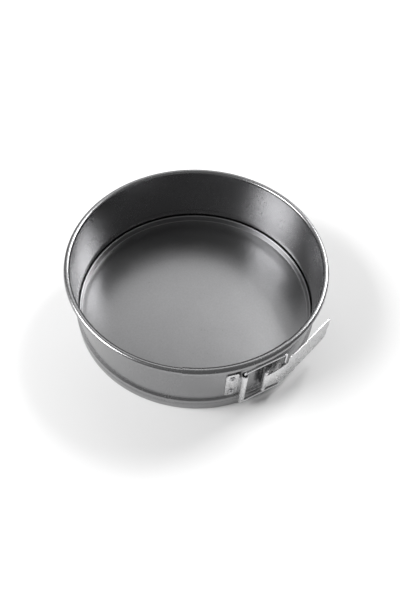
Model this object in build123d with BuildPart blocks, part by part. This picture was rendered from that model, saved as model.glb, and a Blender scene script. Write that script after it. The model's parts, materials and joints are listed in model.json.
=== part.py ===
from build123d import *
from math import atan2, cos, degrees, radians, sin, sqrt, tan
import os

# Springform pan. Millimetres, +Z up, origin at the centre of the underside.
# The clasp faces -Y. A place round the pan is given by its side angle: degrees
# left of the clasp's centre line, seen from outside, so negative is to the right.

# Ring, one rolled strip of sheet steel
wall_radius = 114.3        # inside of the wall
pan_height = 70.0
band_sheet = 0.5
bead_radius = 2.8          # outside of the curled rim
bead_curl = 300.0          # degrees of curl
groove_depth = 2.2         # how far the foot ridge stands out
valley_bottom = 6.8        # shallow valley round the ridge, from here
valley_middle = 8.8        # its deepest line
valley_top = 10.8          # up to here
valley_depth = 0.5         # how far it goes in
shoulder_bottom = 14.2     # where the shoulder meets the ridge
shoulder_top = 16.6        # where the shoulder meets the wall
lip_width = 2.4            # turned-in foot under the base
form_bend = 0.8            # bend radius of the formed profiles, at mid-sheet

# Where the strip is divided into pieces that move
hinge_side = 120.0         # flex lines, left and right of the clasp
cut_gap = 0.3
strip_end_side = -1.5      # outer end of the left-hand strip, under the clasp
tongue_from_side = 31.5    # free end of the inner tongue
tongue_to_side = -14.0     # where the tongue runs into the right-hand strip
tongue_clearance = 0.12

# Base plate
base_sheet = 0.6
base_rim_height = 7.6
base_edge_clearance = 1.3  # skirt to the inside of the ridge
base_roll_radius = 0.85    # at mid-sheet
base_drop = 0.12           # skirt above the foot lips

# Clasp, shared
clasp_sheet = 0.9
plate_foot_gap = 1.4       # plates above the shoulder
plate_corner = 3.0
wire_radius = 1.1
pin_radius = 1.1
running_clearance = 0.05
eye_curl = 280.0           # degrees of a rolled eye
sheet_bend = 1.4           # bend at the foot of a rolled eye, at mid-sheet
rivet_radius = 1.6
rivet_head_radius = 2.7
rivet_head = 0.6
rivet_eye_radius = 1.1
rivet_margin = 6.7         # rivet centres inside the plate's ends
rivet_fit = 0.04

# Bail, bent from wire
bail_headroom = 2.9        # upper leg below the bead
bail_bend = 2.2
bail_end = 0.3             # straight end past the last bend
bail_end_gap = 0.4         # wire ends stop short of the knuckle

# Anchor on the left-hand strip
anchor_side = 6.9          # axis of the knuckle
anchor_gap = 0.9           # knuckle outside the ridge
anchor_play = 0.8          # radial room for the wire in the knuckle
anchor_outer_side = 13.6
anchor_rivet_side = 10.8
knuckle_overhang = 5.0     # knuckle above the plate
knuckle_hang = 5.6         # knuckle below the plate

# Lever and its bracket on the right-hand strip
fulcrum_side = -2.7
fulcrum_gap = 2.05         # lever's eye outside the ridge
bracket_outer_side = -12.4
bracket_rivet_side = -9.2
bracket_drop = 2.0         # bracket below the top of the anchor plate
eye_length = 4.5
eye_gap = 0.4
pin_head = 0.5
lever_pivot_side = -12.0   # where the lever carries the bail
blade_headroom = 10.4      # lever below the bead
blade_rise = 6.1           # lever's lower edge above the knuckle's
blade_step = 2.2           # wide blade starts this far past the bail
blade_bend_side = -21.0    # the blade runs straight from here
blade_straight = 31.5
blade_flare_radius = 60.0
blade_flare_angle = 9.0
blade_corner_low = 8.5
blade_corner_high = 4.0
blade_step_corner = 1.5
neck_taper = 16.0          # the neck narrows over this length to its free corner
neck_taper_rise = 7.0
barrel_rise = 2.5          # barrel above the lever's lower edge
barrel_drop = 2.6          # barrel below the top of the neck

# Worked out from the sizes above: ring
wall_outer = wall_radius + band_sheet
wall_mid = wall_radius + band_sheet / 2
ridge_mid = wall_mid + groove_depth
ridge_outer = wall_outer + groove_depth
curl_radius = bead_radius - band_sheet / 2
curl_height = pan_height - bead_radius
half_gap = degrees(cut_gap / 2 / wall_radius)
tongue_inset = band_sheet + tongue_clearance

# Clasp, measured outward
plate_mid = wall_outer + clasp_sheet / 2
knuckle_mid = wire_radius + anchor_play + clasp_sheet / 2
eye_mid = pin_radius + running_clearance + clasp_sheet / 2
barrel_mid = wire_radius + running_clearance + clasp_sheet / 2
anchor_radius = ridge_outer + anchor_gap + knuckle_mid + clasp_sheet / 2
fulcrum_radius = ridge_outer + fulcrum_gap + eye_mid + clasp_sheet / 2
blade_mid = fulcrum_radius + eye_mid
lever_pivot_radius = blade_mid - barrel_mid
step_side = lever_pivot_side - degrees(blade_step / blade_mid)

# Clasp, measured upward
plate_bottom = shoulder_top + plate_foot_gap
knuckle_bottom = plate_bottom - knuckle_hang
bail_bottom = knuckle_bottom - bail_end_gap - bail_end - bail_bend
blade_bottom = knuckle_bottom + blade_rise
blade_top = pan_height - 2 * bead_radius - blade_headroom
bail_top = pan_height - 2 * bead_radius - bail_headroom - wire_radius
knuckle_top = bail_top - bail_bend - bail_end - bail_end_gap
plate_top = knuckle_top - knuckle_overhang
fulcrum_top = plate_top - bracket_drop
neck_top = fulcrum_top - eye_length - eye_gap
lever_eye_bottom = plate_bottom + eye_length + eye_gap
rivet_low = plate_bottom + rivet_margin
rivet_high = plate_top - rivet_margin
barrel_bottom = blade_bottom + barrel_rise
barrel_top = neck_top - barrel_drop


def turn(side):
    """Angle about +Z of a side angle."""
    return -90 - side


def spot(radius, side, z=0):
    """Point at a radius and side angle."""
    return Vector(radius * cos(radians(turn(side))), radius * sin(radians(turn(side))), z)


def radial_plane(side):
    """Sketch plane through the axis: x outward, y up."""
    return Plane(origin=(0, 0, 0), x_dir=spot(1, side), z_dir=spot(1, side + 90))


def wall_plane(side, z):
    """Sketch plane square to the wall, centred on the axis of the pan: x right, y up."""
    return Plane(origin=(0, 0, z), x_dir=spot(1, side - 90), z_dir=spot(1, side))


def strip(from_side, to_side, inset=0):
    """Revolve the strip's section between two side angles, moved inward by inset."""
    curl = curl_radius + inset
    foot = band_sheet / 2 + inset
    drop = inset * tan(atan2(groove_depth, shoulder_top - shoulder_bottom) / 2)
    with BuildSketch(radial_plane(from_side)) as section:
        with BuildLine():
            wall = FilletPolyline(
                (wall_outer + groove_depth - lip_width - inset, foot),
                (ridge_mid - inset, foot),
                (ridge_mid - inset, valley_bottom),
                (ridge_mid - valley_depth - inset, valley_middle),
                (ridge_mid - inset, valley_top),
                (ridge_mid - inset, shoulder_bottom - drop),
                (wall_mid - inset, shoulder_top - drop),
                (wall_mid - inset, curl_height),
                radius=form_bend,
            )
            CenterArc(((wall @ 1).X + curl, curl_height), curl, 180, -bead_curl)
        trace(line_width=band_sheet)
    revolve(section.sketch, axis=Axis.Z, revolution_arc=from_side - to_side)


def rivet_holes(side):
    """Drill both rivet holes through the strip or plate."""
    for height in (rivet_low, rivet_high):
        with BuildSketch(wall_plane(side, height)) as hole:
            Circle(rivet_radius + rivet_fit)
        extrude(hole.sketch, amount=wall_outer + 20, mode=Mode.SUBTRACT)


def rivets(side):
    """Two hollow rivets through a clasp plate and the strip."""
    grip = clasp_sheet + band_sheet
    for height in (rivet_low, rivet_high):
        plane = Plane(spot(wall_radius, side, height), x_dir=(0, 0, 1), z_dir=spot(1, side - 90))
        with BuildSketch(plane) as section:
            with BuildLine():
                Polyline(
                    (rivet_eye_radius, 0),
                    (rivet_eye_radius, grip + rivet_head),
                    (rivet_head_radius - rivet_head / 2, grip + rivet_head),
                    (rivet_head_radius, grip + rivet_head / 3),
                    (rivet_head_radius, grip + rivet_fit),
                    (rivet_radius, grip + rivet_fit),
                    (rivet_radius, 0),
                    close=True,
                )
            make_face()
        revolve(section.sketch, axis=Axis(plane.origin, spot(1, side)), revolution_arc=360)


def hinge_plate(hand, eye_side, eye_radius, eye, outer_side, low, high):
    """Sheet lying on the wall that turns outward and rolls into an eye."""
    left = spot(hand, eye_side + 90)
    bend = sqrt((plate_mid + sheet_bend) ** 2 - (eye + sheet_bend) ** 2)
    inner_side = eye_side + hand * degrees(atan2(eye + sheet_bend, bend))
    centre = spot(eye_radius, eye_side)
    with BuildSketch(Plane.XY.offset(low)) as outline:
        with BuildLine():
            plate = CenterArc((0, 0), plate_mid, turn(outer_side), outer_side - inner_side)
            foot = TangentArc(
                plate @ 1, spot(bend, eye_side) + left * eye, tangent=plate % 1
            )
            Line(foot @ 1, centre + left * eye)
            CenterArc(centre, eye, turn(eye_side) - hand * 90, hand * eye_curl)
        trace(line_width=clasp_sheet)
    extrude(outline.sketch, amount=high - low)
    ends = edges().sort_by_distance(spot(plate_mid, outer_side, low))[:1]
    ends += edges().sort_by_distance(spot(plate_mid, outer_side, high))[:1]
    return ends


def eye_ring(radius, side, eye, low, high, mode=Mode.ADD):
    """Round tube of clasp sheet about an upright axis."""
    with BuildSketch(Plane.XY.offset(low)) as ring:
        with Locations(spot(radius, side)):
            Circle(eye + clasp_sheet / 2)
            if mode == Mode.ADD:
                Circle(eye - clasp_sheet / 2, mode=Mode.SUBTRACT)
    extrude(ring.sketch, amount=high - low, mode=mode)


# Ring pieces. The flex lines lie between the back and the two sides.
with BuildPart() as band_back:
    strip(360 - hinge_side - half_gap, hinge_side + half_gap)
band_back.part.label = "band_back"

with BuildPart() as band_left:
    strip(hinge_side - half_gap, strip_end_side)
    rivet_holes(anchor_rivet_side)
band_left.part.label = "band_left"

with BuildPart() as band_right:
    strip(strip_end_side - 2 * half_gap, -hinge_side + half_gap)
    rivet_holes(bracket_rivet_side)
band_right.part.label = "band_right"

# Springy end of the right-hand strip, inside the left-hand one
with BuildPart() as band_tongue:
    strip(tongue_from_side, tongue_to_side, inset=tongue_inset)
band_tongue.part.label = "band_tongue"

# Base plate: flat floor, upright rim rolled over into a skirt
skirt_mid = wall_radius + groove_depth - base_edge_clearance - base_sheet / 2
skirt_bottom = 2 * band_sheet + tongue_clearance + base_drop
roll_height = base_rim_height - base_roll_radius - base_sheet / 2
with BuildPart() as base_plate:
    with BuildSketch(Plane.XZ):
        with BuildLine():
            floor = FilletPolyline(
                (0, base_sheet / 2),
                (skirt_mid - 2 * base_roll_radius, base_sheet / 2),
                (skirt_mid - 2 * base_roll_radius, roll_height),
                radius=form_bend,
            )
            CenterArc((skirt_mid - base_roll_radius, roll_height), base_roll_radius, 180, -180)
            Line((skirt_mid, roll_height), (skirt_mid, skirt_bottom))
        trace(line_width=base_sheet)
    revolve(axis=Axis.Z)
base_plate.part.label = "base_plate"

# Anchor: plate riveted to the left-hand strip, rolled into a long knuckle
with BuildPart() as anchor_plate:
    corners = hinge_plate(
        1, anchor_side, anchor_radius, knuckle_mid, anchor_outer_side, plate_bottom, plate_top
    )
    fillet(corners, radius=plate_corner)
    eye_ring(anchor_radius, anchor_side, knuckle_mid, knuckle_bottom, plate_bottom)
    eye_ring(anchor_radius, anchor_side, knuckle_mid, plate_top, knuckle_top)
    rivet_holes(anchor_rivet_side)
anchor_plate.part.label = "anchor_plate"

with BuildPart() as anchor_rivets:
    rivets(anchor_rivet_side)
anchor_rivets.part.label = "anchor_rivets"

# Bracket: plate riveted to the right-hand strip, with an eye above and below the lever's
with BuildPart() as lever_bracket:
    corners = hinge_plate(
        -1, fulcrum_side, fulcrum_radius, eye_mid, bracket_outer_side, plate_bottom, fulcrum_top
    )
    fillet(corners, radius=plate_corner)
    eye_ring(
        fulcrum_radius,
        fulcrum_side,
        eye_mid + eye_gap,
        lever_eye_bottom - eye_gap,
        neck_top + eye_gap,
        mode=Mode.SUBTRACT,
    )
    rivet_holes(bracket_rivet_side)
lever_bracket.part.label = "lever_bracket"

with BuildPart() as bracket_rivets:
    rivets(bracket_rivet_side)
bracket_rivets.part.label = "bracket_rivets"

with BuildPart() as fulcrum_pin:
    for low, high, size in (
        (plate_bottom - pin_head - eye_gap / 2, plate_bottom - eye_gap / 2, pin_head),
        (plate_bottom - eye_gap / 2, fulcrum_top + eye_gap / 2, 0),
        (fulcrum_top + eye_gap / 2, fulcrum_top + eye_gap / 2 + pin_head, pin_head),
    ):
        with BuildSketch(Plane.XY.offset(low)):
            with Locations(spot(fulcrum_radius, fulcrum_side)):
                Circle(pin_radius + size)
        extrude(amount=high - low)
fulcrum_pin.part.label = "fulcrum_pin"

# Lever: eye, neck between the bail's legs, then the wide blade
with BuildPart() as lever:
    with BuildSketch(Plane.XY.offset(lever_eye_bottom)):
        with BuildLine():
            eye = CenterArc(
                spot(fulcrum_radius, fulcrum_side), eye_mid, turn(fulcrum_side) - eye_curl, eye_curl
            )
            CenterArc((0, 0), blade_mid, turn(fulcrum_side), fulcrum_side - step_side)
        trace(line_width=clasp_sheet)
    extrude(amount=neck_top - lever_eye_bottom)
    neck_side = fulcrum_side - degrees((eye_mid + clasp_sheet / 2 + eye_gap) / blade_mid)
    with BuildSketch(Plane.XY.offset(blade_bottom)):
        with BuildLine():
            CenterArc((0, 0), blade_mid, turn(neck_side), neck_side - step_side)
        trace(line_width=clasp_sheet)
    extrude(amount=lever_eye_bottom - blade_bottom)
    with BuildSketch(Plane.XY.offset(blade_bottom)):
        with BuildLine():
            bend = CenterArc((0, 0), blade_mid, turn(step_side), step_side - blade_bend_side)
            straight = Line(bend @ 1, bend @ 1 + (bend % 1) * blade_straight)
            flare = JernArc(straight @ 1, straight % 1, blade_flare_radius, -blade_flare_angle)
        trace(line_width=clasp_sheet)
    extrude(amount=blade_top - blade_bottom)
    tip = flare @ 1
    for height, corner in ((blade_bottom, blade_corner_low), (blade_top, blade_corner_high)):
        fillet(edges().sort_by_distance(tip + Vector(0, 0, height))[:1], radius=corner)
    fillet(edges().sort_by_distance(spot(blade_mid, step_side, blade_top))[:1], radius=blade_step_corner)
    fillet(edges().sort_by_distance(spot(blade_mid, step_side, neck_top))[:1], radius=blade_step_corner)
    with BuildSketch(wall_plane(neck_side, blade_bottom)) as taper:
        with Locations((-clasp_sheet, -clasp_sheet)):
            Polygon((0, 0), (neck_taper, 0), (0, neck_taper_rise), align=None)
    extrude(taper.sketch, amount=blade_mid + clasp_sheet, mode=Mode.SUBTRACT)
    eye_ring(lever_pivot_radius, lever_pivot_side, barrel_mid, barrel_bottom, barrel_top)
lever.part.label = "lever"

# Bail: one wire, upright in the lever's barrel, its ends turned in at the knuckle
with BuildPart() as wire_bail:
    with BuildLine():
        wire = FilletPolyline(
            spot(anchor_radius, anchor_side, knuckle_top + bail_end_gap),
            spot(anchor_radius, anchor_side, bail_top),
            spot(lever_pivot_radius, lever_pivot_side, bail_top),
            spot(lever_pivot_radius, lever_pivot_side, bail_bottom),
            spot(anchor_radius, anchor_side, bail_bottom),
            spot(anchor_radius, anchor_side, knuckle_bottom - bail_end_gap),
            radius=bail_bend,
        )
    with BuildSketch(Plane(origin=wire @ 0, z_dir=wire % 0)):
        Circle(wire_radius)
    sweep()
wire_bail.part.label = "wire_bail"

os.makedirs("parts", exist_ok=True)
for piece in (
    band_back,
    band_left,
    band_right,
    band_tongue,
    base_plate,
    anchor_plate,
    anchor_rivets,
    lever_bracket,
    bracket_rivets,
    fulcrum_pin,
    lever,
    wire_bail,
):
    export_step(piece.part, f"parts/{piece.part.label}.step")
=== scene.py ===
import json
import math

import bmesh
import bpy
from mathutils import Matrix, Vector


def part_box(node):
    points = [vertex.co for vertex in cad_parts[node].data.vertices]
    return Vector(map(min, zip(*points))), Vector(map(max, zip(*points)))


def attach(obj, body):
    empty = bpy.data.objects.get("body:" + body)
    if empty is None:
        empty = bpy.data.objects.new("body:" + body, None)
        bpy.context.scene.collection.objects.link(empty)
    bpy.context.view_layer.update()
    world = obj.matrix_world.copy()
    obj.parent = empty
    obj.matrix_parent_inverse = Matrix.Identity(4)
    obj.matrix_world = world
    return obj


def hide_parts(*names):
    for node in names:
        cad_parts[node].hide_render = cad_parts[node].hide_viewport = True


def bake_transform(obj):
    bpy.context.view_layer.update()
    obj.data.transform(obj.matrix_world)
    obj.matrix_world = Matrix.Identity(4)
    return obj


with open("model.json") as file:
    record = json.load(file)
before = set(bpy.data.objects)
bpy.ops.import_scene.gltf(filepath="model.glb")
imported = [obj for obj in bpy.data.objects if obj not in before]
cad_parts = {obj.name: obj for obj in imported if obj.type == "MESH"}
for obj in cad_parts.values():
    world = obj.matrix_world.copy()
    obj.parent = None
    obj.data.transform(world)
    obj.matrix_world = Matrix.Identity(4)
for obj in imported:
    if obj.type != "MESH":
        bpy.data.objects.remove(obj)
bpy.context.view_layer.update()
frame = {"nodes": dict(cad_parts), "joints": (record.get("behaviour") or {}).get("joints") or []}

bl_info = {
    "name": "Springform Pan",
    "version": (1, 0, 0),
    "blender": (4, 5, 0),
    "location": "3D View > Sidebar > Pan",
    "description": "Builds the looks of a springform pan round its packed frame",
    "category": "Add Mesh",
}

# The clasp faces -Y. A place round the pan is given by its side angle: degrees
# left of the clasp's centre line, seen from outside, so negative is to the right.

BACK = 180.0
MILLIMETRE = 0.001


def side_point(radius, side, z=0.0):
    """Point at a radius and side angle."""
    angle = math.radians(-90 - side)
    return Vector((radius * math.cos(angle), radius * math.sin(angle), z))


def side_of(point):
    """Side angle of a point."""
    return -90 - math.degrees(math.atan2(point[1], point[0]))


def joint(name):
    """A joint of the frame, by name."""
    return next(j for j in frame["joints"] if j["name"] == name)


def length(name, text, default):
    """A size in metres, as a property."""
    return bpy.props.FloatProperty(
        name=name, description=text, default=default, unit="LENGTH", precision=5, step=0.01
    )


def degrees_round(name, text, default):
    """An angle round the pan or round a bend, in degrees, as a property."""
    return bpy.props.FloatProperty(name=name, description=text, default=default)


def colour(name, text, default):
    """A colour, as a property."""
    return bpy.props.FloatVectorProperty(
        name=name, description=text, default=default, subtype="COLOR", size=3, min=0, max=1
    )


def share(name, text, default):
    """A number from 0 to 1, as a property."""
    return bpy.props.FloatProperty(
        name=name, description=text, default=default, min=0, max=1, subtype="FACTOR"
    )


# Sizes and colours

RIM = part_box("band_back")[1]
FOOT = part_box("base_plate")[1]
HALF_CUT = 0.075  # half the gap between the strip's end and the piece beside it, in degrees


class RingSizes(bpy.types.PropertyGroup):
    """The rolled strip of sheet that makes the wall."""

    height: length("Height", "Top of the rolled rim", RIM.z)
    rim_radius: length("Rim radius", "Outside of the rolled rim", RIM.y)
    sheet: length("Sheet", "Thickness of the strip", 0.5 * MILLIMETRE)
    bead_radius: length("Bead", "Outside radius of the rolled rim's tube", 2.8 * MILLIMETRE)
    bead_curl: degrees_round("Curl", "How far the rim is rolled over", 300.0)
    groove_depth: length("Groove", "How far the foot ridge stands out", 2.2 * MILLIMETRE)
    valley_low: length("Valley, low", "Where the shallow valley starts", 6.8 * MILLIMETRE)
    valley_middle: length("Valley, middle", "Its deepest line", 8.8 * MILLIMETRE)
    valley_high: length("Valley, high", "Where it ends", 10.8 * MILLIMETRE)
    valley_depth: length("Valley, depth", "How far it goes in", 0.5 * MILLIMETRE)
    shoulder_low: length("Shoulder, low", "Where it meets the ridge", 14.2 * MILLIMETRE)
    shoulder_high: length("Shoulder, high", "Where it meets the wall", 16.6 * MILLIMETRE)
    lip: length("Lip", "Width of the turned-in foot", 2.4 * MILLIMETRE)
    bend: length("Bend", "Bend radius of the formed profile", 0.8 * MILLIMETRE)
    strip_end: degrees_round("Strip end", "Side angle of the outer end of the strip", -1.5)
    tongue_from: degrees_round("Tongue end", "Side angle of the inner end of the strip", 31.5)
    tongue_to: degrees_round("Tongue root", "Side angle where the tongue starts", -14.0)
    tongue_gap: length("Tongue gap", "Between the tongue and the strip", 0.12 * MILLIMETRE)
    flex: degrees_round("Flex", "Half the stretch over which a side bends", 16.0)
    step: degrees_round("Step", "Turn from one row of faces to the next", 0.75)


class BaseSizes(bpy.types.PropertyGroup):
    """The loose base plate."""

    radius: length("Radius", "Outside of the skirt", FOOT.y)
    height: length("Height", "Top of the rolled rim", FOOT.z)
    sheet: length("Sheet", "Thickness of the plate", 0.6 * MILLIMETRE)
    roll: length("Roll", "Radius of the rolled edge, at mid-sheet", 0.85 * MILLIMETRE)
    skirt_low: length("Skirt", "Lower edge of the skirt", 1.24 * MILLIMETRE)
    bend: length("Bend", "Bend radius in the corner", 0.8 * MILLIMETRE)
    step: degrees_round("Step", "Turn from one row of faces to the next", 0.75)


class ClaspSizes(bpy.types.PropertyGroup):
    """The clasp's sheet parts, wire and rivets."""

    ease: length("Ease", "Rounding of the cut edges", 0.16 * MILLIMETRE)
    wire: length("Wire", "Radius of the bail's wire", 1.1 * MILLIMETRE)
    wire_bend: length("Wire bend", "Bend radius at the middle of the wire", 2.2 * MILLIMETRE)
    wire_stub: length("Stub", "Length of a wire end inside the knuckle", 7.0 * MILLIMETRE)
    rivet_head: length("Rivet head", "Radius of a rivet's head", 2.7 * MILLIMETRE)
    rivet_eye: length("Rivet eye", "Radius of the hollow in a rivet", 1.15 * MILLIMETRE)
    rivet_rise: length("Rivet rise", "Height of a rivet's head", 0.65 * MILLIMETRE)
    rivet_grip: length("Rivet grip", "Sheets between the rivet's two heads", 1.4 * MILLIMETRE)


class Finishes(bpy.types.PropertyGroup):
    """Colours and gloss."""

    coating: colour("Coating", "Non-stick coating of the ring", (0.30, 0.30, 0.305))
    coating_roughness: share("Coating roughness", "Of the ring", 0.24)
    base: colour("Base coating", "Non-stick coating of the base", (0.28, 0.28, 0.285))
    base_roughness: share("Base roughness", "Of the base", 0.28)
    plate: colour("Plate", "Plated clasp sheet", (0.60, 0.60, 0.605))
    wire: colour("Wire", "Plated wire", (0.68, 0.68, 0.685))
    rivet: colour("Rivet", "Rivets and pin", (0.20, 0.20, 0.20))


class Studio(bpy.types.PropertyGroup):
    """Camera, floor and light."""

    azimuth: degrees_round("Azimuth", "0 looks along +Y, 90 along -X", -28.0)
    elevation: degrees_round("Elevation", "Above the horizon", 53.84)
    roll: degrees_round("Roll", "Turn of the camera about its view", -2.46)
    distance: length("Distance", "From the aim to the camera", 0.4994)
    lens: bpy.props.FloatProperty(
        name="Lens", description="Focal length for a 36 mm sensor", default=32.88, unit="CAMERA"
    )
    aim_right: length("Aim right", "Aim to the right of the rim's centre", 0.00441)
    aim_down: length("Aim down", "Aim below the rim's centre in the picture", 0.03772)
    aim_height: length("Aim height", "Height of the rim's centre", 0.0672)
    floor: colour("Floor", "Pale floor", (0.86, 0.86, 0.86))
    floor_size: length("Floor size", "Side of the floor", 8.0)
    air: share("Air", "Strength of the even light", 0.24)


# Name, place, width, height in metres and watts of each area light
LIGHTS = (
    ("ceiling", (0.75, 1.35, 1.75), 2.0, 1.3, 8.5),
    ("window", (-1.5, 0.45, 1.2), 1.1, 0.9, 42.0),
    ("fill", (1.6, 0.55, 1.5), 0.9, 0.8, 40.0),
)


GROUPS = {
    "pan_ring": RingSizes,
    "pan_base": BaseSizes,
    "pan_clasp": ClaspSizes,
    "pan_finish": Finishes,
    "pan_studio": Studio,
}


# Shader maths


def socket_of(made, key):
    """An input of a node, by its number, such as i6, or by its name."""
    return made.inputs[int(key[1:]) if key[1:].isdigit() else key.replace("_", " ")]


class Shade:
    """A shader socket that adds Math nodes when it is used in an expression."""

    def __init__(self, tree, socket):
        self.tree = tree
        self.socket = socket

    def node(self, kind, settings=None, **inputs):
        """Add any node: its type, its settings, then the values or links of its sockets."""
        made = self.tree.nodes.new(kind)
        for key, value in (settings or {}).items():
            if key == "stops":
                ramp = made.color_ramp
                while len(ramp.elements) < len(value):
                    ramp.elements.new(1.0)
                for element, (place, tone) in zip(ramp.elements, value):
                    element.position = place
                    element.color = (tone, tone, tone, 1)
            else:
                setattr(made, key, value)
        for key, value in inputs.items():
            socket = socket_of(made, key)
            if isinstance(value, Shade):
                self.tree.links.new(value.socket, socket)
            elif isinstance(value, bpy.types.NodeSocket):
                self.tree.links.new(value, socket)
            else:
                socket.default_value = value
        return made

    def maths(self, operation, first, second):
        made = self.node("ShaderNodeMath", {"operation": operation}, i0=first, i1=second)
        return Shade(self.tree, made.outputs[0])

    def __add__(self, other):
        return self.maths("ADD", self, other)

    __radd__ = __add__

    def __sub__(self, other):
        return self.maths("SUBTRACT", self, other)

    def __rsub__(self, other):
        return self.maths("SUBTRACT", other, self)

    def __mul__(self, other):
        return self.maths("MULTIPLY", self, other)

    __rmul__ = __mul__

    def noise(self, place, scale, detail=2.0, roughness=0.5):
        """Noise from 0 to 1 over a place."""
        made = self.node(
            "ShaderNodeTexNoise", Vector=place, Scale=scale, Detail=detail, Roughness=roughness
        )
        return Shade(self.tree, made.outputs[0])

    def ramp(self, value, *stops):
        """A curve through (place, tone) stops."""
        made = self.node("ShaderNodeValToRGB", {"stops": stops}, Fac=value)
        return Shade(self.tree, made.outputs[0])

    def blend(self, factor, low, high):
        """A colour between two colours."""
        made = self.node(
            "ShaderNodeMix", {"data_type": "RGBA"}, i0=factor, i6=(*low, 1), i7=(*high, 1)
        )
        return Shade(self.tree, made.outputs[2])

    def bump(self, height, strength, distance):
        """A normal from a height."""
        made = self.node(
            "ShaderNodeBump", Strength=strength, Distance=distance, Height=height
        )
        return Shade(self.tree, made.outputs[0])


def new_finish(name):
    """A material with its surface shader, its object coordinates and a wrapper."""
    made = bpy.data.materials.new(name)
    made.use_nodes = True
    tree = made.node_tree
    surface = tree.nodes["Principled BSDF"]
    shade = Shade(tree, surface.outputs[0])
    place = tree.nodes.new("ShaderNodeTexCoord").outputs["Object"]
    return made, surface, shade, Shade(tree, place)


def scaled(tone, factor):
    """A colour, lighter or darker."""
    return tuple(min(1.0, channel * factor) for channel in tone)


def connect(surface, name, value):
    """Link a wrapped socket into the surface shader."""
    value.tree.links.new(value.socket, surface.inputs[name])


def coated_steel(name, tone, roughness, speckle):
    """Satin non-stick coating on steel: fine grain and a faint mottle."""
    made, surface, shade, place = new_finish(name)
    surface.inputs["Metallic"].default_value = 1.0
    surface.inputs["IOR"].default_value = 1.5
    grain = shade.noise(place, 1900, 1.0)
    flecks = shade.ramp(shade.noise(place, 800, 2.0, 0.65), (0.20, 0.0), (0.80, 1.0))
    mottle = shade.noise(place, 34, 3.0)
    tint = flecks * speckle + mottle * 0.35
    connect(surface, "Base Color", shade.blend(tint, scaled(tone, 0.84), scaled(tone, 1.2)))
    connect(surface, "Roughness", roughness - 0.03 + mottle * 0.05 + flecks * 0.05)
    connect(surface, "Normal", shade.bump(grain * 0.5 + flecks * 0.5, 0.12, 0.0003))
    return made


def plated_sheet(name, tone, roughness, grain_depth):
    """Bright plated sheet: fine rolled grain, small pits and duller patches."""
    made, surface, shade, place = new_finish(name)
    surface.inputs["Metallic"].default_value = 1.0
    stretch = shade.node(
        "ShaderNodeMapping", None, Vector=place, Scale=(1.0, 1.0, 0.22)
    ).outputs[0]
    rolled = shade.noise(stretch, 1500, 2.0)
    pits = shade.ramp(shade.noise(place, 900, 1.0), (0.25, 0.0), (0.40, 1.0))
    patches = shade.noise(place, 320, 3.0)
    tint = patches * 0.7 + pits * 0.3
    connect(surface, "Base Color", shade.blend(tint, scaled(tone, 0.62), scaled(tone, 1.25)))
    connect(surface, "Roughness", roughness - 0.07 + patches * 0.14)
    height = rolled * 0.5 + pits * 0.25 + patches * 0.5
    connect(surface, "Normal", shade.bump(height, grain_depth, 0.0003))
    return made


def pale_floor(name, tone):
    """Plain matt floor."""
    made, surface, shade, place = new_finish(name)
    surface.inputs["Specular IOR Level"].default_value = 0.2
    surface.inputs["Roughness"].default_value = 0.75
    mottle = shade.noise(place, 3.0)
    connect(surface, "Base Color", shade.blend(mottle, scaled(tone, 0.995), tone))
    return made


# Mesh helpers


def arc_points(centre, radius, start, turn, steps):
    """Points along an arc in the section plane, in degrees."""
    points = []
    for step in range(steps + 1):
        angle = math.radians(start + turn * step / steps)
        points.append(
            Vector((centre[0] + radius * math.cos(angle), centre[1] + radius * math.sin(angle)))
        )
    return points


def rounded(corners, radius, steps=5):
    """A run of straight lines whose inner corners are rounded."""
    corners = [Vector(corner) for corner in corners]
    points = [corners[0]]
    for before, corner, after in zip(corners, corners[1:], corners[2:]):
        back = (before - corner).normalized()
        on = (after - corner).normalized()
        half = back.angle(on) / 2
        centre = corner + (back + on).normalized() * (radius / math.sin(half))
        first = corner + back * (radius / math.tan(half)) - centre
        turn = first.angle_signed(corner + on * (radius / math.tan(half)) - centre)
        for step in range(steps + 1):
            points.append(centre + Matrix.Rotation(-turn * step / steps, 2) @ first)
    points.append(corners[-1])
    return points


def strip_section(sizes, inset):
    """Mid-line of the strip, foot to curled rim, moved inward by inset."""
    wall = sizes.rim_radius - 2 * sizes.bead_radius + sizes.sheet / 2 - inset
    ridge = wall + sizes.groove_depth
    foot = sizes.sheet / 2 + inset
    slope = math.atan2(sizes.groove_depth, sizes.shoulder_high - sizes.shoulder_low)
    drop = inset * math.tan(slope / 2)
    curl = sizes.bead_radius - sizes.sheet / 2 + inset
    curl_height = sizes.height - sizes.bead_radius
    points = rounded(
        (
            (ridge + sizes.sheet / 2 - sizes.lip, foot),
            (ridge, foot),
            (ridge, sizes.valley_low),
            (ridge - sizes.valley_depth, sizes.valley_middle),
            (ridge, sizes.valley_high),
            (ridge, sizes.shoulder_low - drop),
            (wall, sizes.shoulder_high - drop),
            (wall, curl_height),
        ),
        sizes.bend,
    )
    bead = arc_points((wall + curl, curl_height), curl, 180, -sizes.bead_curl, 36)
    return points + bead[1:]


def base_section(sizes):
    """Mid-line of the base, from its centre to the lower edge of the skirt."""
    skirt = sizes.radius - sizes.sheet / 2
    rim = skirt - 2 * sizes.roll
    roll_height = sizes.height - sizes.roll - sizes.sheet / 2
    floor = rounded(
        ((0, sizes.sheet / 2), (rim, sizes.sheet / 2), (rim, roll_height)), sizes.bend, 8
    )
    roll = arc_points((rim + sizes.roll, roll_height), sizes.roll, 180, -180, 14)
    inner = [Vector((rim * part, sizes.sheet / 2)) for part in (0.25, 0.5, 0.75, 0.9)]
    return floor[:1] + inner + floor[1:] + roll[1:] + [Vector((skirt, sizes.skirt_low))]


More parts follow.
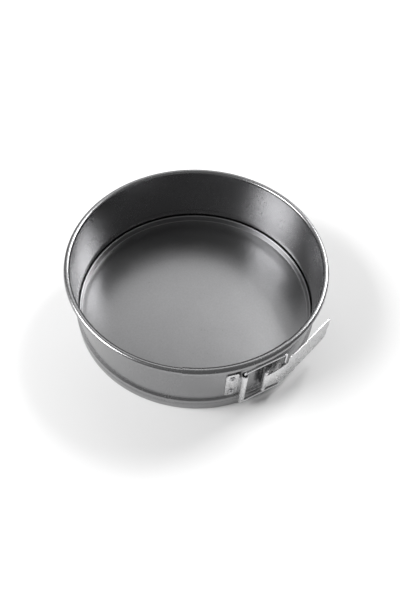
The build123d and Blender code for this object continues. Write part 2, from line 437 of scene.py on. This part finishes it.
def line_object(name, points):
    """An object whose mesh is a run of edges."""
    mesh = bpy.data.meshes.new(name)
    edges = [(index, index + 1) for index in range(len(points) - 1)]
    mesh.from_pydata([tuple(point) for point in points], edges, [])
    made = bpy.data.objects.new(name, mesh)
    bpy.context.scene.collection.objects.link(made)
    return made


class Tree:
    """A geometry node tree with named inputs, made in order from left to right."""

    def __init__(self, name, **inputs):
        self.tree = bpy.data.node_groups.new(name, "GeometryNodeTree")
        face = self.tree.interface
        face.new_socket("Geometry", in_out="INPUT", socket_type="NodeSocketGeometry")
        face.new_socket("Geometry", in_out="OUTPUT", socket_type="NodeSocketGeometry")
        for key, kind in inputs.items():
            face.new_socket(key, in_out="INPUT", socket_type=f"NodeSocket{kind}")
        self.given = self.tree.nodes.new("NodeGroupInput").outputs
        self.result = self.tree.nodes.new("NodeGroupOutput")

    def node(self, kind, settings=None, **inputs):
        """Add a node and return its outputs."""
        made = self.tree.nodes.new(kind)
        for key, value in (settings or {}).items():
            setattr(made, key, value)
        for key, value in inputs.items():
            socket = socket_of(made, key)
            if isinstance(value, bpy.types.NodeSocket):
                self.tree.links.new(value, socket)
            else:
                socket.default_value = value
        return made.outputs

    def maths(self, operation, first, second):
        return self.node("ShaderNodeMath", {"operation": operation}, i0=first, i1=second)[0]

    def end(self, geometry):
        """Close the tree with smooth faces, real geometry and a material."""
        smooth = self.node("GeometryNodeSetShadeSmooth", Geometry=geometry)[0]
        real = self.node("GeometryNodeRealizeInstances", Geometry=smooth)[0]
        done = self.node(
            "GeometryNodeSetMaterial", Geometry=real, Material=self.given["Finish"]
        )[0]
        self.tree.links.new(done, self.result.inputs[0])
        return self.tree


def turned_tree():
    """Turn a section, drawn as radius and height, from one angle to another about Z."""
    build = Tree("turned_sheet", From="Float", To="Float", Rows="Int", Finish="Material")
    given = build.given
    count = build.node(
        "GeometryNodeAttributeDomainSize", {"component": "MESH"}, Geometry=given["Geometry"]
    )["Point Count"]
    last = build.maths("SUBTRACT", count, 1)
    grid = build.node(
        "GeometryNodeMeshGrid", Size_X=last, Size_Y=1.0, Vertices_X=count, Vertices_Y=given["Rows"]
    )[0]
    cell = build.node("ShaderNodeSeparateXYZ", Vector=build.node("GeometryNodeInputPosition")[0])
    index = build.maths("ROUND", build.maths("ADD", cell[0], build.maths("MULTIPLY", last, 0.5)), 0)
    angle = build.node(
        "ShaderNodeMapRange", Value=cell[1], From_Min=-0.5, From_Max=0.5,
        To_Min=given["From"], To_Max=given["To"],
    )[0]
    drawn = build.node(
        "GeometryNodeSampleIndex", {"data_type": "FLOAT_VECTOR", "domain": "POINT"},
        Geometry=given["Geometry"], Value=build.node("GeometryNodeInputPosition")[0], Index=index,
    )[0]
    turned = build.node(
        "ShaderNodeVectorRotate", {"rotation_type": "Z_AXIS"}, Vector=drawn, Angle=angle
    )[0]
    placed = build.node("GeometryNodeSetPosition", Geometry=grid, Position=turned)[0]
    closed = build.node("GeometryNodeMergeByDistance", Geometry=placed, Distance=1e-6)[0]
    return build.end(closed)


def wire_tree():
    """Bend a run of straight lines into round wire."""
    build = Tree("bent_wire", Radius="Float", Bend="Float", Finish="Material")
    given = build.given
    line = build.node("GeometryNodeMeshToCurve", Mesh=given["Geometry"])[0]
    bent = build.node(
        "GeometryNodeFilletCurve", {"mode": "POLY"}, Curve=line, Count=12, Radius=given["Bend"]
    )[0]
    ring = build.node("GeometryNodeCurvePrimitiveCircle", Resolution=28, Radius=given["Radius"])[0]
    wire = build.node(
        "GeometryNodeCurveToMesh", Curve=bent, Profile_Curve=ring, Fill_Caps=True
    )[0]
    return build.end(wire)


def rivet_tree():
    """Set a rivet on each point, facing out from the axis of the pan."""
    build = Tree("set_rivets", Rivet="Object", Finish="Material")
    given = build.given
    place = build.node("ShaderNodeSeparateXYZ", Vector=build.node("GeometryNodeInputPosition")[0])
    outward = build.node("ShaderNodeCombineXYZ", X=place[0], Y=place[1])[0]
    turn = build.node(
        "FunctionNodeAlignRotationToVector", {"axis": "Z"}, Vector=outward
    )[0]
    rivet = build.node("GeometryNodeObjectInfo", Object=given["Rivet"])["Geometry"]
    set_out = build.node(
        "GeometryNodeInstanceOnPoints", Points=given["Geometry"], Instance=rivet, Rotation=turn
    )[0]
    return build.end(set_out)


def add_nodes(piece, tree, **values):
    """Give a piece a geometry node modifier and set its inputs by identifier."""
    modifier = piece.modifiers.new(tree.name, "NODES")
    modifier.node_group = tree
    for item in tree.interface.items_tree:
        if item.in_out == "INPUT" and item.name in values:
            modifier[item.identifier] = values[item.name]
    return modifier


def settle(piece, finish, sharp=35.0):
    """Turn a piece and its modifiers into a plain mesh with its hard edges marked."""
    graph = bpy.context.evaluated_depsgraph_get()
    mesh = bpy.data.meshes.new_from_object(piece.evaluated_get(graph))
    piece.modifiers.clear()
    piece.data = mesh
    mesh.name = piece.name
    shape = bmesh.new()
    shape.from_mesh(mesh)
    for face in shape.faces:
        face.smooth = True
        face.material_index = 0
    for edge in shape.edges:
        if len(edge.link_faces) == 2:
            edge.smooth = edge.calc_face_angle() < math.radians(sharp)
    shape.to_mesh(mesh)
    shape.free()
    mesh.materials.clear()
    mesh.materials.append(finish)
    return piece


def thicken(piece, sheet):
    """Give a mid-surface the thickness of its sheet."""
    solid = piece.modifiers.new("sheet", "SOLIDIFY")
    solid.thickness = sheet
    solid.offset = 0
    solid.use_even_offset = True


def turned_piece(name, section, from_side, to_side, step, sheet, finish):
    """A sheet piece turned about the axis of the pan."""
    piece = line_object(name, [(point[0], 0, point[1]) for point in section])
    rows = max(8, round(abs(from_side - to_side) / step)) + 1
    add_nodes(
        piece,
        turned_tree(),
        From=math.radians(-90 - from_side),
        To=math.radians(-90 - to_side),
        Rows=rows,
        Finish=finish,
    )
    thicken(piece, sheet)
    return settle(piece, finish)


def eased_copy(node, name, ease, finish):
    """A copy of a frame node with its points merged and its cut edges rounded."""
    source = frame["nodes"][node].data
    shape = bmesh.new()
    shape.from_mesh(source)
    bmesh.ops.remove_doubles(shape, verts=shape.verts, dist=2e-6)
    bmesh.ops.dissolve_limit(
        shape, angle_limit=math.radians(0.6), verts=shape.verts, edges=shape.edges
    )
    shape.verts.index_update()
    mesh = bpy.data.meshes.new(name)
    mesh.from_pydata(
        [vert.co[:] for vert in shape.verts],
        [],
        [[vert.index for vert in face.verts] for face in shape.faces],
    )
    shape.free()
    piece = bpy.data.objects.new(name, mesh)
    bpy.context.scene.collection.objects.link(piece)
    bevel = piece.modifiers.new("ease", "BEVEL")
    bevel.width = ease
    bevel.segments = 2
    bevel.limit_method = "ANGLE"
    bevel.angle_limit = math.radians(40)
    bevel.use_clamp_overlap = True
    return settle(piece, finish, 50.0)


# Operators, one for each piece or group of like pieces


def finish_named(name):
    """A finish by name, made once from the colours in the panel."""
    if name in bpy.data.materials:
        return bpy.data.materials[name]
    tones = bpy.context.scene.pan_finish
    if name == "ring_coating":
        return coated_steel(name, tones.coating, tones.coating_roughness, 0.35)
    if name == "base_coating":
        return coated_steel(name, tones.base, tones.base_roughness, 0.45)
    if name == "plated_sheet":
        return plated_sheet(name, tones.plate, 0.28, 0.80)
    if name == "plated_wire":
        return plated_sheet(name, tones.wire, 0.20, 0.10)
    return plated_sheet(name, tones.rivet, 0.28, 0.20)


class PAN_OT_ring(bpy.types.Operator):
    """Make the ring in two halves that meet at the back"""

    bl_idname = "pan.ring"
    bl_label = "Ring"

    def execute(self, context):
        sizes = context.scene.pan_ring
        finish = finish_named("ring_coating")
        section = strip_section(sizes, 0)
        left = turned_piece(
            "ring_left_half", section, BACK, sizes.strip_end, sizes.step, sizes.sheet, finish
        )
        right = turned_piece(
            "ring_right_half",
            section,
            sizes.strip_end - 2 * HALF_CUT,
            BACK - 360,
            sizes.step,
            sizes.sheet,
            finish,
        )
        for piece, body, nodes in (
            (left, "ring_left", ("band_back", "band_left")),
            (right, "ring_right", ("band_right",)),
        ):
            hinge = joint(f"{'left' if piece == left else 'right'}_side_spread")["pos_m"]
            side = side_of(hinge)
            side = side if side > -180 else side + 360
            behind = sizes.flex if piece == left else -sizes.flex
            radius = Vector(hinge[:2]).length
            start = side_point(radius, side + behind, sizes.height / 2)
            end = side_point(radius, side - behind, sizes.height / 2)
            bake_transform(piece)
            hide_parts(*nodes)
        return {"FINISHED"}


class PAN_OT_tongue(bpy.types.Operator):
    """Make the springy inner end of the strip"""

    bl_idname = "pan.tongue"
    bl_label = "Tongue"

    def execute(self, context):
        sizes = context.scene.pan_ring
        finish = finish_named("ring_coating")
        section = strip_section(sizes, sizes.sheet + sizes.tongue_gap)
        piece = turned_piece(
            "ring_tongue",
            section,
            sizes.tongue_from,
            sizes.tongue_to,
            sizes.step,
            sizes.sheet,
            finish,
        )
        pivot = joint("tongue_flex")["pos_m"]
        radius = Vector(pivot[:2]).length
        start = side_point(radius, sizes.tongue_to, sizes.height / 2)
        end = side_point(radius, side_of(pivot), sizes.height / 2)
        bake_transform(piece)
        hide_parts("band_tongue")
        return {"FINISHED"}


class PAN_OT_base(bpy.types.Operator):
    """Make the loose base plate"""

    bl_idname = "pan.base"
    bl_label = "Base plate"

    def execute(self, context):
        sizes = context.scene.pan_base
        finish = finish_named("base_coating")
        piece = turned_piece(
            "base_plate_turned", base_section(sizes), BACK, -BACK, sizes.step, sizes.sheet, finish
        )
        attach(piece, "base")
        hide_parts("base_plate")
        return {"FINISHED"}


class PAN_OT_clasp_sheet(bpy.types.Operator):
    """Ease the edges of the anchor, the bracket, the lever and the pin"""

    bl_idname = "pan.clasp_sheet"
    bl_label = "Clasp sheet parts"

    def execute(self, context):
        ease = context.scene.pan_clasp.ease
        for node, body, finish, slot in (
            ("anchor_plate", "ring_left", "plated_sheet", "plated_steel"),
            ("lever_bracket", "ring_right", "plated_sheet", "plated_steel"),
            ("lever", "clasp_lever", "plated_sheet", "plated_steel"),
            ("fulcrum_pin", "ring_right", "rivet_steel", "rivet_steel"),
        ):
            piece = eased_copy(node, f"{node}_eased", ease, finish_named(finish))
            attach(piece, body)
            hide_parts(node)
        return {"FINISHED"}


class PAN_OT_bail(bpy.types.Operator):
    """Bend the wire bail, with its ends inside the anchor's knuckle"""

    bl_idname = "pan.bail"
    bl_label = "Wire bail"

    def execute(self, context):
        sizes = context.scene.pan_clasp
        finish = finish_named("plated_wire")
        low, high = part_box("wire_bail")
        knuckle_low, knuckle_high = (corner.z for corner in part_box("anchor_plate"))
        eye = Vector((low.x + sizes.wire, low.y + sizes.wire))
        pivot = Vector(joint("bail_swing")["pos_m"][:2])
        top, bottom = high.z - sizes.wire, low.z + sizes.wire
        piece = line_object(
            "wire_bail_bent",
            (
                (*eye, knuckle_high - sizes.wire_stub),
                (*eye, top),
                (*pivot, top),
                (*pivot, bottom),
                (*eye, bottom),
                (*eye, knuckle_low + sizes.wire_stub),
            ),
        )
        add_nodes(piece, wire_tree(), Radius=sizes.wire, Bend=sizes.wire_bend, Finish=finish)
        settle(piece, finish)
        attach(piece, "clasp_bail")
        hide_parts("wire_bail")
        return {"FINISHED"}


class PAN_OT_rivets(bpy.types.Operator):
    """Set the four hollow rivets"""

    bl_idname = "pan.rivets"
    bl_label = "Rivets"

    def execute(self, context):
        sizes = context.scene.pan_clasp
        finish = finish_named("rivet_steel")
        grip, rise = sizes.rivet_grip, sizes.rivet_rise
        head, eye = sizes.rivet_head, sizes.rivet_eye
        flush = 0.15 * MILLIMETRE
        rim = arc_points((head - rise / 2, grip + rise / 2), rise / 2, -60, 130, 6)
        mouth = arc_points((eye + rise / 2, grip + rise / 2), rise / 2, 100, 80, 5)
        section = [Vector((0, -flush)), Vector((head * 0.8, -flush)), Vector((head * 0.86, 0))]
        section += [Vector((eye * 1.4, grip * 0.5)), Vector((head - rise, grip))]
        section += rim + mouth
        hollow = grip * 0.35
        section += [Vector((eye, grip * 0.45)), Vector((eye * 0.6, hollow)), Vector((0, hollow))]
        rivet = line_object("rivet_pattern", [(point[0], 0, point[1]) for point in section])
        add_nodes(rivet, turned_tree(), From=0.0, To=2 * math.pi, Rows=33, Finish=finish)
        settle(rivet, finish)
        shape = bmesh.new()
        shape.from_mesh(rivet.data)
        bmesh.ops.recalc_face_normals(shape, faces=shape.faces)
        shape.to_mesh(rivet.data)
        shape.free()
        for node, body in (("anchor_rivets", "ring_left"), ("bracket_rivets", "ring_right")):
            low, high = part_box(node)
            middle = (low + high) / 2
            wall = context.scene.pan_ring.rim_radius - 2 * context.scene.pan_ring.bead_radius
            side = side_of(middle)
            places = [
                side_point(wall, side, z)
                for z in (low.z + sizes.rivet_head, high.z - sizes.rivet_head)
            ]
            piece = line_object(f"{node}_set", places)
            add_nodes(piece, rivet_tree(), Rivet=rivet, Finish=finish)
            settle(piece, finish)
            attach(piece, body)
            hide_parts(node)
        bpy.data.objects.remove(rivet)
        return {"FINISHED"}


def area_light(name, place, aim, width, height, power):
    """A soft rectangular light."""
    lamp = bpy.data.lights.new(name, "AREA")
    lamp.shape = "RECTANGLE"
    lamp.size = width
    lamp.size_y = height
    lamp.energy = power
    made = bpy.data.objects.new(name, lamp)
    made.location = place
    made.rotation_euler = (Vector(aim) - Vector(place)).to_track_quat("-Z", "Y").to_euler()
    bpy.context.scene.collection.objects.link(made)
    return made


class PAN_OT_studio(bpy.types.Operator):
    """Set out the camera, the floor and the lights"""

    bl_idname = "pan.studio"
    bl_label = "Studio"

    def execute(self, context):
        sizes = context.scene.pan_studio
        self.place_camera(context.scene, sizes)
        half = sizes.floor_size / 2
        mesh = bpy.data.meshes.new("studio_floor")
        corners = ((-half, -half, 0), (half, -half, 0), (half, half, 0), (-half, half, 0))
        mesh.from_pydata(corners, [], [(0, 1, 2, 3)])
        mesh.materials.append(pale_floor("pale_floor", sizes.floor))
        floor = bpy.data.objects.new("studio_floor", mesh)
        context.scene.collection.objects.link(floor)
        world = bpy.data.worlds.new("studio_air")
        world.use_nodes = True
        world.node_tree.nodes["Background"].inputs[0].default_value = (1, 1, 1, 1)
        world.node_tree.nodes["Background"].inputs[1].default_value = sizes.air
        context.scene.world = world
        context.scene.view_settings.view_transform = "Standard"
        for name, place, width, height, power in LIGHTS:
            area_light(name, place, (0, 0, 0), width, height, power)
        return {"FINISHED"}

    def place_camera(self, scene, sizes):
        """Camera at an azimuth and elevation round the rim's centre."""
        azimuth, elevation = math.radians(sizes.azimuth), math.radians(sizes.elevation)
        back = Vector(
            (
                math.sin(azimuth) * math.cos(elevation),
                -math.cos(azimuth) * math.cos(elevation),
                math.sin(elevation),
            )
        )
        right = Vector((math.cos(azimuth), math.sin(azimuth), 0))
        up = back.cross(right)
        aim = Vector((0, 0, sizes.aim_height)) + right * sizes.aim_right - up * sizes.aim_down
        level = Matrix((right, up, back)).transposed()
        turn = level @ Matrix.Rotation(math.radians(-sizes.roll), 3, "Z")
        camera = bpy.data.cameras.new("camera")
        camera.lens = sizes.lens
        camera.sensor_width = 36
        camera.clip_start = 0.01
        made = bpy.data.objects.new("camera", camera)
        made.matrix_world = Matrix.Translation(aim + back * sizes.distance) @ turn.to_4x4()
        scene.collection.objects.link(made)
        scene.camera = made


OPERATORS = (
    PAN_OT_studio,
    PAN_OT_ring,
    PAN_OT_tongue,
    PAN_OT_base,
    PAN_OT_clasp_sheet,
    PAN_OT_bail,
    PAN_OT_rivets,
)


class PAN_PT_panel(bpy.types.Panel):
    """Sizes, finishes and pieces of the pan"""

    bl_label = "Springform Pan"
    bl_space_type = "VIEW_3D"
    bl_region_type = "UI"
    bl_category = "Pan"

    def draw(self, context):
        for group in GROUPS:
            box = self.layout.box()
            for key in GROUPS[group].__annotations__:
                box.prop(getattr(context.scene, group), key)
        for operator in OPERATORS:
            self.layout.operator(operator.bl_idname)


CLASSES = (*GROUPS.values(), *OPERATORS, PAN_PT_panel)


def register():
    for kind in CLASSES:
        bpy.utils.register_class(kind)
    for name, group in GROUPS.items():
        setattr(bpy.types.Scene, name, bpy.props.PointerProperty(type=group))


def unregister():
    for name in GROUPS:
        delattr(bpy.types.Scene, name)
    for kind in reversed(CLASSES):
        bpy.utils.unregister_class(kind)


def main():
    """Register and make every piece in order."""
    register()
    for operator in OPERATORS:
        family, name = operator.bl_idname.split(".")
        getattr(getattr(bpy.ops, family), name)()


if __name__ == "__main__":
    main()
